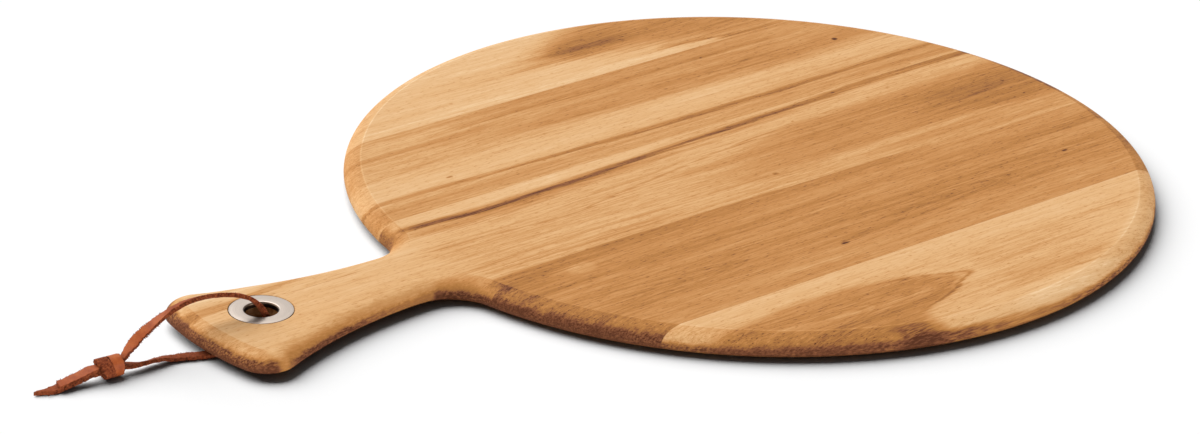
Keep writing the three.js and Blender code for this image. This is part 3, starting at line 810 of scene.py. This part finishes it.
def grained(tree, fibre, tone):
    """A stave's tone with noise drawn out along the fibre and open pores; also the layers and the pores."""
    total = tone - sum(amount for scale, octaves, amount in GRAIN_LAYERS)
    layers = []
    for scale, octaves, amount in GRAIN_LAYERS:
        drawn = add(tree, "VectorMath", [fibre, scale], operation="MULTIPLY")
        layers.append(add(tree, "TexNoise", {"Vector": drawn, "Scale": 1.0, "Detail": octaves}))
        total = add(tree, "Math", [layers[-1], 2 * amount, total], operation="MULTIPLY_ADD")
    drawn = add(tree, "VectorMath", [fibre, PORES], operation="MULTIPLY")
    pores = add(tree, "TexNoise", {"Vector": drawn, "Scale": 1.0, "Detail": 1})
    pores = add(tree, "MapRange", [pores, *PORE_LEVELS], interpolation_type="SMOOTHSTEP")
    total = add(tree, "Math", [pores, PORE_TONE, total], operation="MULTIPLY_ADD")
    return total, layers, pores


def figured(tree, total, along, across, layers, zones, streaks, pins, loops):
    """A tone with a stave's loops, and its zones, streaks and pin knots, whose borders the grain feathers."""
    border = across
    for layer, reach in zip(layers[1:3], (FEATHER_COARSE, FEATHER_FINE)):
        border = add(tree, "Math", [layer, reach, border], operation="MULTIPLY_ADD")
    border = add(tree, "Math", [border, (FEATHER_COARSE + FEATHER_FINE) / 2], operation="SUBTRACT")
    marks = []
    for low, high, soft, amount, ends in zones:
        marks.append((faded(tree, zone_mask(tree, along, border, low, high, soft), along, ends), amount))
    for line, half, amount, ends in streaks:
        marks.append((faded(tree, streak_mask(tree, along, border, line, half), along, ends), amount))
    for x, y, long, wide, amount in pins:
        marks.append((pin_mask(tree, along, border, x, y, long, wide), amount))
    for x, y, width, reach, amount in loops:
        marks.append((loop_mask(tree, along, across, x, y, width, reach), amount))
    for mask, amount in marks:
        total = add(tree, "Math", [mask, amount, total], operation="MULTIPLY_ADD")
    return total


def stained_and_shaded(tree, total, along, across, up, fibre, lows, run, blotch):
    """A tone that goes over to a given one below a height, in specks and with a blotched upper border; these
    marks are stains, and painted shade low on the near rims and the handle.
    """
    turns = (BLOTCH_RUN * run * BLOTCHES, BLOTCHES, BLOTCHES)
    drawn = add(tree, "VectorMath", [fibre, turns], operation="MULTIPLY")
    blotches = add(tree, "TexNoise", {"Vector": drawn, "Scale": 1.0, "Detail": 4, "Roughness": 0.7})
    height = add(tree, "Math", [blotches, blotch, up], operation="MULTIPLY_ADD")
    height = add(tree, "Math", [height, blotch / 2], operation="SUBTRACT")
    drawn = add(tree, "VectorMath", [fibre, (run * SPECKS, SPECKS, SPECKS)], operation="MULTIPLY")
    specks = add(tree, "TexNoise", {"Vector": drawn, "Scale": 1.0, "Detail": 3, "Roughness": 0.6})
    specks = add(tree, "MapRange", [specks, *SPECK_LEVELS, SPECK_LEAST])
    for line, soft, dark, ends, low, high in lows:
        mask = faded(tree, zone_mask(tree, along, height, None, line, soft), along, ends)
        beside = zone_mask(tree, along, across, low, high, STAIN_AND_SHADE_SIDE)
        mask = add(tree, "Math", [mask, beside], operation="MULTIPLY")
        mask = add(tree, "Math", [mask, specks], operation="MULTIPLY")
        change = add(tree, "Math", [dark, total], operation="SUBTRACT")
        total = add(tree, "Math", [mask, change, total], operation="MULTIPLY_ADD")
    return total


def edge_wear_painted_light_and_end_grain(tree, total, up, end, arris_wear_and_highlight):
    """A tone with painted light from the floor as a pale line along the lower rim, the top edge's pale line
    of rubbed wear and painted highlight, and the end grain.
    """
    # painted light: the white floor's light as a pale line on the rim's lower curve
    painted_floor_light = add(tree, "MapRange", [up, *PAINTED_FLOOR_LIGHT_TOP], interpolation_type="SMOOTHSTEP")
    foot = add(tree, "MapRange", [up, *PAINTED_FLOOR_LIGHT_FOOT, 0.0, PAINTED_FLOOR_LIGHT_TONE])
    total = add(tree, "Math", [painted_floor_light, foot, total], operation="MULTIPLY_ADD")
    facing = add(tree, "SeparateXYZ", [add(tree, "TexCoord").outputs["Normal"]])
    # the top edge's pale line: rubbed wear and a painted highlight
    tilted = add(tree, "MapRange", [facing.outputs[2], *ARRIS_WEAR_AND_HIGHLIGHT_TILT])
    edge = add(tree, "MapRange", [up, THICKNESS - ARRIS_WEAR_AND_HIGHLIGHT_DEPTH[0], THICKNESS - ARRIS_WEAR_AND_HIGHLIGHT_DEPTH[1]])
    edge = add(tree, "Math", [tilted, edge], operation="MULTIPLY")
    total = add(tree, "Math", [edge, arris_wear_and_highlight, total], operation="MULTIPLY_ADD")
    endways = add(tree, "Math", [facing.outputs[0]], operation="ABSOLUTE")
    endways = add(tree, "MapRange", [endways, *END_GRAIN], interpolation_type="SMOOTHSTEP")
    return add(tree, "Math", [endways, end, total], operation="MULTIPLY_ADD")


def acacia(
        name, tone, seed, end, zones=(), streaks=(), pins=(), loops=(), lows=(),
        run=0.3, blotch=6.0, arris_wear_and_highlight=0.0):
    """Acacia, planed, sanded and oiled: straight grain from pale sapwood to red-brown heartwood, open pores.

    One number, the tone, is built up from grain, figure, stains and wear, painted shade and painted light,
    and is turned to a colour last.
    """
    material, tree = new_material(name)
    along, across, up, fibre = fibre_place(tree, seed)
    total, layers, pores = grained(tree, fibre, tone)
    total = figured(tree, total, along, across, layers, zones, streaks, pins, loops)
    total = stained_and_shaded(tree, total, along, across, up, fibre, lows, run, blotch)
    total = edge_wear_painted_light_and_end_grain(tree, total, up, end, arris_wear_and_highlight)
    colour = add(tree, "ValToRGB", [total], WOOD_STOPS)
    height = add(tree, "Math", [pores, PORE_RELIEF, layers[2]], operation="MULTIPLY_ADD")
    bump = add(tree, "Bump", {"Height": height, "Strength": 0.35, "Distance": GRAIN_RELIEF * MM})
    gloss = add(tree, "MapRange", [layers[1], 0, 1, *WOOD_ROUGHNESS])
    shader = add(tree, "BsdfPrincipled", {
        "Base Color": colour, "Roughness": gloss, "Normal": bump, "Specular IOR Level": 0.04})
    add(tree, "OutputMaterial", [shader])
    return material


# Board

def circles_cross(centre_a, radius_a, centre_b, radius_b):
    """Where two circles cross, on the left of the way from the first centre to the second."""
    way = centre_b - centre_a
    distance = np.linalg.norm(way)
    way = way / distance
    reach = (radius_a**2 - radius_b**2 + distance**2) / (2 * distance)
    half = np.sqrt(radius_a**2 - reach**2)
    return centre_a + way * reach + np.array([-way[1], way[0]]) * half


def arc(centre, radius, start, end, steps, hollow):
    """Points of an arc without its last one, and the directions out of the wood there."""
    angle = start + (end - start) * np.arange(steps)[:, None] / steps
    ray = np.hstack([np.cos(angle), np.sin(angle)])
    return centre + radius * ray, -ray if hollow else ray


def board_outline():
    """The disc's arc, a root fillet, a hollow flank, a corner and the bowed end, then the mirror of these."""
    disc = np.zeros(2)
    flank = np.array([-NECK_DISTANCE, NECK_WIDTH / 2 + FLANK_RADIUS])
    end = np.array([HANDLE_END_RADIUS - HANDLE_REACH, 0])
    fillet = circles_cross(
        disc, DISC_RADIUS + ROOT_FILLET_RADIUS, flank, FLANK_RADIUS - ROOT_FILLET_RADIUS)
    corner = circles_cross(
        end, HANDLE_END_RADIUS - HANDLE_CORNER_RADIUS, flank, FLANK_RADIUS + HANDLE_CORNER_RADIUS)

    def angle_of(start, to):
        return np.arctan2(to[1] - start[1], to[0] - start[0])

    root, bow = angle_of(disc, fillet), angle_of(end, corner)
    arcs = [
        arc(disc, DISC_RADIUS, 0, root, DISC_STEPS, False),
        arc(fillet, ROOT_FILLET_RADIUS, root - np.pi, angle_of(flank, fillet), FILLET_STEPS, True),
        arc(flank, FLANK_RADIUS, angle_of(flank, fillet), angle_of(flank, corner), FLANK_STEPS, True),
        arc(corner, HANDLE_CORNER_RADIUS, angle_of(corner, flank), bow, CORNER_STEPS, False),
        arc(end, HANDLE_END_RADIUS, bow, np.pi, END_STEPS, False),
    ]
    points, out = (np.vstack(parts) for parts in zip(*arcs))
    mirror = np.array([1, -1])
    points = np.vstack([points, [[-HANDLE_REACH, 0]], points[:0:-1] * mirror])
    return points, np.vstack([out, [[-1, 0]], out[:0:-1] * mirror])


def rim_section(soft):
    """The rim's section at each outline point, as insets and heights from the top flat to the bottom flat.

    The shoulder is the quadratic Bezier curve from the top edge to the nose, with its start eased into the
    flat by a second one, and the part below the nose is a quarter ellipse.
    """
    inset = RIM_INSET + (FLANK_INSET - RIM_INSET) * soft
    control = THICKNESS - RIM_SHOULDER_DROP * (1 - soft)

    def shoulder(u):
        height = THICKNESS * (1 - u) ** 2 + 2 * u * (1 - u) * control + u * u * NOSE_HEIGHT
        return inset * (1 - u) ** 2, height

    eased = EASED_EDGE / (2 * inset)
    down = shoulder(eased)
    u = np.linspace(0, 1, EASING_STEPS)[None, :]
    easing = (
        (1 - u) ** 2 * (inset + EASED_EDGE) + 2 * u * (1 - u) * inset + u * u * down[0],
        (1 - u) ** 2 * THICKNESS + 2 * u * (1 - u) * THICKNESS + u * u * down[1])
    side = shoulder(eased + (1 - eased) * np.linspace(0, 1, SHOULDER_STEPS)[None, 1:])
    a = np.linspace(0, np.pi / 2, UNDER_STEPS)[None, 1:]
    ones = np.ones_like(soft)
    under = (ones * UNDER_INSET * (1 - np.cos(a)), ones * NOSE_HEIGHT * (1 - np.sin(a)))
    top = (easing[0][:, :1] + FLAT_MARGIN, ones * THICKNESS)
    bottom = (ones * (UNDER_INSET + FLAT_MARGIN), ones * 0.0)
    parts = [top, easing, side, under, bottom]
    return np.hstack([p[0] for p in parts]), np.hstack([p[1] for p in parts])


def board_mesh():
    """The rim's section carried round the outline, closed by one flat face above and one below."""
    points, out = board_outline()
    reach = -points[:, :1]
    soft = smoothstep(reach, *SOFT_EDGE_IN) * (1 - smoothstep(reach, *SOFT_EDGE_OUT))
    inset, height = rim_section(soft)
    plan = points[:, None] - out[:, None] * inset[..., None]
    rings = np.concatenate([plan, height[..., None]], -1).transpose(1, 0, 2)
    return new_mesh("board", rings.reshape(-1, 3), ring_faces(*rings.shape[:2], True))


def cut_plane(body, point, normal, keep):
    """Cuts a bmesh by a plane; with keep the side the normal points to is removed and the cut is filled."""
    geometry = [*body.verts, *body.edges, *body.faces]
    cut = bmesh.ops.bisect_plane(
        body, geom=geometry, dist=MERGED, plane_co=point, plane_no=normal, clear_outer=keep)["geom_cut"]
    if keep:
        bmesh.ops.holes_fill(body, edges=[e for e in cut if isinstance(e, bmesh.types.BMEdge)])


def relieve_handle(mesh):
    """Lifts the handle's underside: below the nose, z becomes r + z (1 - r / nose), r being an S-curve in x.

    The mesh is first cut across at even steps of the ramp, so that it has points to follow the curve with.
    """
    with opened(mesh) as body:
        for x in np.linspace(*RELIEF_RAMP, RELIEF_STEPS):
            cut_plane(body, (-x * MM, 0, 0), (1, 0, 0), False)
    places = np.empty(3 * len(mesh.vertices))
    mesh.vertices.foreach_get("co", places)
    places = places.reshape(-1, 3) / MM
    height = places[:, 2]
    relief = RELIEF_DEPTH * smoothstep(-places[:, 0], *RELIEF_RAMP)
    places[:, 2] = np.where(height < NOSE_HEIGHT, relief + height * (1 - relief / NOSE_HEIGHT), height)
    mesh.vertices.foreach_set("co", (places * MM).ravel())


def stave_mesh(name, board, near, far):
    """The part of the board between two glue lines."""
    mesh = bpy.data.meshes.new(name)
    with opened(board, mesh) as body:
        cut_plane(body, (0, far * MM, 0), (0, 1, 0), True)
        cut_plane(body, (0, near * MM, 0), (0, -1, 0), True)
    return mesh


def turned_mesh(name, profile, base=0.0, way=1.0, closed=True):
    """A profile of radii and heights turned about the eyelet's axis; an open profile ends on the axis."""
    angle = 2 * np.pi * np.arange(TURNED_STEPS) / TURNED_STEPS
    radius, height = np.array(profile, float).T
    x = EYELET_X + radius[:, None] * np.cos(angle)
    y = EYELET_Y + radius[:, None] * np.sin(angle)
    z = np.broadcast_to(base + way * height[:, None], x.shape)
    faces = ring_faces(len(profile), TURNED_STEPS, not closed)
    return new_mesh(name, np.stack([x, y, z], -1).reshape(-1, 3), faces)


def hole_cutter():
    """The stepped hole for both eyelets, with eased mouths."""
    seat = EYELET_FLANGE + EYELET_CLEARANCE
    bore = EYELET_BORE + LIP_WALL + EYELET_CLEARANCE
    low = RELIEF_DEPTH + FLANGE_THICKNESS
    high = THICKNESS - FLANGE_THICKNESS
    mouth = seat + HOLE_EASE
    profile = [
        (mouth + HOLE_OVERCUT, RELIEF_DEPTH - HOLE_OVERCUT), (mouth, RELIEF_DEPTH),
        (seat, RELIEF_DEPTH + HOLE_EASE), (seat, low), (bore, low), (bore, high), (seat, high),
        (seat, THICKNESS - HOLE_EASE), (mouth, THICKNESS), (mouth + HOLE_OVERCUT, THICKNESS + HOLE_OVERCUT)]
    mesh = turned_mesh("hole_cutter", profile, closed=False)
    finish_mesh(mesh, HOLE_CREASE)
    return new_object("hole_cutter", mesh)


def bored(mesh):
    """A mesh with the eyelets' hole cut out of it."""
    cutter = hole_cutter()
    blank = new_object("blank", mesh)
    cut = blank.modifiers.new("hole", "BOOLEAN")
    cut.object = cutter
    cut.solver = "EXACT"
    whole = blank.evaluated_get(bpy.context.evaluated_depsgraph_get())
    result = bpy.data.meshes.new_from_object(whole)
    for helper in (cutter, blank):
        bpy.data.objects.remove(helper)
    return result


def make_board():
    """Five staves glued edge to edge; the centre one runs on as the handle."""
    board = board_mesh()
    finish_mesh(board, WOOD_CREASE)
    rim = 2 * DISC_RADIUS
    staves = [
        ("far_outer", "stave_far_outer", FAR_OUTER, FAR_OUTER_LINE, rim),
        ("far_inner", "stave_far_inner", FAR_INNER, FAR_INNER_LINE, FAR_OUTER_LINE),
        ("centre", "stave_centre_with_handle", CENTRE, NEAR_INNER_LINE, FAR_INNER_LINE),
        ("near_inner", "stave_near_inner", NEAR_INNER, NEAR_OUTER_LINE, NEAR_INNER_LINE),
        ("near_outer", "stave_near_outer", NEAR_OUTER, -rim, NEAR_OUTER_LINE),
    ]
    for seed, (name, node, figure, near, far) in enumerate(staves, 1):
        mesh = stave_mesh("acacia_" + name, board, near, far)
        if name == "centre":
            relieve_handle(mesh)
            mesh = bored(mesh)
        finish_mesh(mesh, WOOD_CREASE)
        wood = acacia("oiled_acacia_" + name, seed=seed, **figure)
        place_piece("acacia_" + name, mesh, wood, "board", node)
    bpy.data.meshes.remove(board)


# Steel eyelets

RING_TURNS = 3.0  # for each millimetre of radius, as a turning tool leaves them
RING_LEVELS = (0.3, 0.7)
RING_TONES = ("#aa9d92", "#baada2")
RING_RELIEF = 0.05  # millimetres
STEEL_ROUGHNESS = (0.28, 0.36)
# A dark brown painted over the rolled edge and inside the bore, as painted shade that also dims the roll's
# reflection
PAINTED_BORE_SHADE = "#4b3c31"
PAINTED_BORE_SHADE_DEPTH = (0.01, 0.15)  # below the flange's face, where the painted shade begins and is full


def satin_steel():
    """Stainless steel, turned and satin finished: a pale grey with faint rings, and painted shade of dark
    brown inside the bore.
    """
    material, tree = new_material("satin_stainless_steel")
    place = add(tree, "TexCoord").outputs["Object"]
    centre = (-EYELET_X * MM, -EYELET_Y * MM, 0)
    flat = add(tree, "VectorMath", [place, centre], operation="ADD")
    flat = add(tree, "VectorMath", [flat, (TO_MM, TO_MM, 0)], operation="MULTIPLY")
    radius = add(tree, "VectorMath", [flat], operation="LENGTH").outputs["Value"]
    rings = add(tree, "TexNoise", {"W": radius, "Scale": RING_TURNS, "Detail": 3}, noise_dimensions="1D")
    colour = add(tree, "ValToRGB", [rings], zip(RING_LEVELS, RING_TONES))
    # painted shade: dark brown over the roll and the bore, below the flanges' faces
    middle = (THICKNESS + RELIEF_DEPTH) / 2
    face = THICKNESS - middle
    height = add(tree, "SeparateXYZ", [place]).outputs[2]
    inside = add(tree, "Math", [height, middle * MM], operation="SUBTRACT")
    inside = add(tree, "Math", [inside], operation="ABSOLUTE")
    levels = [inside, (face - PAINTED_BORE_SHADE_DEPTH[0]) * MM, (face - PAINTED_BORE_SHADE_DEPTH[1]) * MM]
    inside = add(tree, "MapRange", levels, interpolation_type="SMOOTHSTEP")
    colour = add(tree, "Mix", {0: inside, 6: colour, 7: to_linear(PAINTED_BORE_SHADE)}, data_type="RGBA")
    gloss = add(tree, "MapRange", [rings, *RING_LEVELS, *STEEL_ROUGHNESS])
    bump = add(tree, "Bump", {"Height": rings, "Strength": 0.2, "Distance": RING_RELIEF * MM})
    shader = add(tree, "BsdfPrincipled", {
        "Base Color": colour.outputs[2], "Metallic": 1.0, "Roughness": gloss, "Normal": bump})
    add(tree, "OutputMaterial", [shader])
    return material


def make_eyelets():
    """Two flanged rings with eased rims, rolled over into the bore, one in each face of the handle."""
    steel = satin_steel()
    lip = EYELET_BORE + LIP_WALL
    a = np.linspace(np.pi / 2, np.pi, ROLL_STEPS)
    roll = np.column_stack([EYELET_BORE + EYELET_ROLL * (1 + np.cos(a)), EYELET_ROLL * (np.sin(a) - 1)])
    a = np.linspace(0, np.pi / 2, EASE_STEPS)
    rim = np.column_stack([EYELET_FLANGE - EYELET_EASE * (1 - np.cos(a)), -EYELET_EASE * (1 - np.sin(a))])
    profile = np.vstack([
        [[lip, -FLANGE_THICKNESS], [EYELET_FLANGE, -FLANGE_THICKNESS]], rim, roll,
        [[EYELET_BORE, -LIP_DEPTH], [lip, -LIP_DEPTH], [lip, -FLANGE_THICKNESS]]])
    for name, node, base, way in [
            ("steel_ring_top", "eyelet_top", THICKNESS, 1.0),
            ("steel_ring_bottom", "eyelet_bottom", RELIEF_DEPTH, -1.0)]:
        mesh = turned_mesh(name, profile, base, way)
        with opened(mesh) as body:
            bmesh.ops.remove_doubles(body, verts=body.verts, dist=MERGED)
        finish_mesh(mesh, STEEL_CREASE)
        place_piece(name, mesh, steel, "board", node)


# Studio

FLOOR_DROP = 0.3  # so that the floor and the underside don't share a plane
FLOOR_HALF = 4000.0  # half its width
FLOOR_WHITE = "#fefefe"
SKY_WHITE = "#ffffff"
SKY_SIDE = (0.0, 0.75, 0.66)  # the far side, where the sky is brightest
SKY_SHARES = (-0.3, 1.0)  # how far towards that side the sky starts to brighten and is full
SKY_STRENGTHS = (0.03, 0.10)
# Lamps: strength, softness in degrees, the side they shine from and how often their light is thrown on.
# With so few bounces no brown light from the wood reaches the floor, whose shadow stays grey.
BROAD_LAMP = (3.8, 70.0, (-0.2, 0.75, 1.0), 1)
LEFT_FILL = (1.6, 20.0, (-0.75, -0.65, 0.10), 0)
RIGHT_FILL = (1.8, 20.0, (0.5, -0.85, 0.10), 0)


def make_studio():
    """A white floor under a white sky, a broad lamp from the far side, low fill lamps for the near edges.

    The camera, gloss and glass see a white sky, and it lights things by a weaker glow from the far side.
    """
    scene = bpy.context.scene
    scene.view_settings.view_transform = "Standard"
    sides = [(-1, -1), (1, -1), (1, 1), (-1, 1)]
    corners = [(x * FLOOR_HALF, y * FLOOR_HALF, -FLOOR_DROP) for x, y in sides]
    mesh = new_mesh("floor", corners, [(0, 1, 2, 3)])
    material, tree = new_material("matt_white_floor")
    shader = add(tree, "BsdfDiffuse", {"Color": to_linear(FLOOR_WHITE)})
    add(tree, "OutputMaterial", [shader])
    mesh.materials.append(material)
    floor = new_object("floor", mesh)
    world = bpy.data.worlds.new("white_studio")
    world.use_nodes = True
    scene.world = world
    tree = world.node_tree
    tree.nodes.clear()
    ray = add(tree, "LightPath")
    seen = ray.outputs["Is Camera Ray"]
    for kind in ("Is Glossy Ray", "Is Transmission Ray"):
        seen = add(tree, "Math", [seen, ray.outputs[kind]], operation="MAXIMUM")
    way = add(tree, "TexCoord").outputs["Generated"]
    way = add(tree, "VectorMath", [way, SKY_SIDE], operation="DOT_PRODUCT").outputs["Value"]
    dome = add(tree, "MapRange", [way, *SKY_SHARES, *SKY_STRENGTHS])
    strength = add(tree, "MapRange", [seen, 0, 1, dome, 1.0])
    sky = add(tree, "Background", {"Color": to_linear(SKY_WHITE), "Strength": strength})
    add(tree, "OutputWorld", [sky])
    unlit = bpy.data.collections.new("not_lit_by_the_fill_lamps")
    unlit.objects.link(floor)
    unlit.collection_objects[0].light_linking.link_state = "EXCLUDE"
    lamps = [("broad_lamp", BROAD_LAMP), ("left_fill_lamp", LEFT_FILL), ("right_fill_lamp", RIGHT_FILL)]
    for name, (strength, softness, source, bounces) in lamps:
        sun = bpy.data.lights.new(name, "SUN")
        sun.energy = strength
        sun.angle = np.radians(softness)
        sun.cycles.max_bounces = bounces
        lamp = new_object(name, sun)
        back = unit(np.array(source))
        side = unit(np.cross([1.0, 0, 0], back))
        aim(lamp, side, np.cross(back, side), back)
        if name != "broad_lamp":
            lamp.light_linking.receiver_collection = unlit


make_camera()
make_lace()
make_board()
make_eyelets()
make_studio()
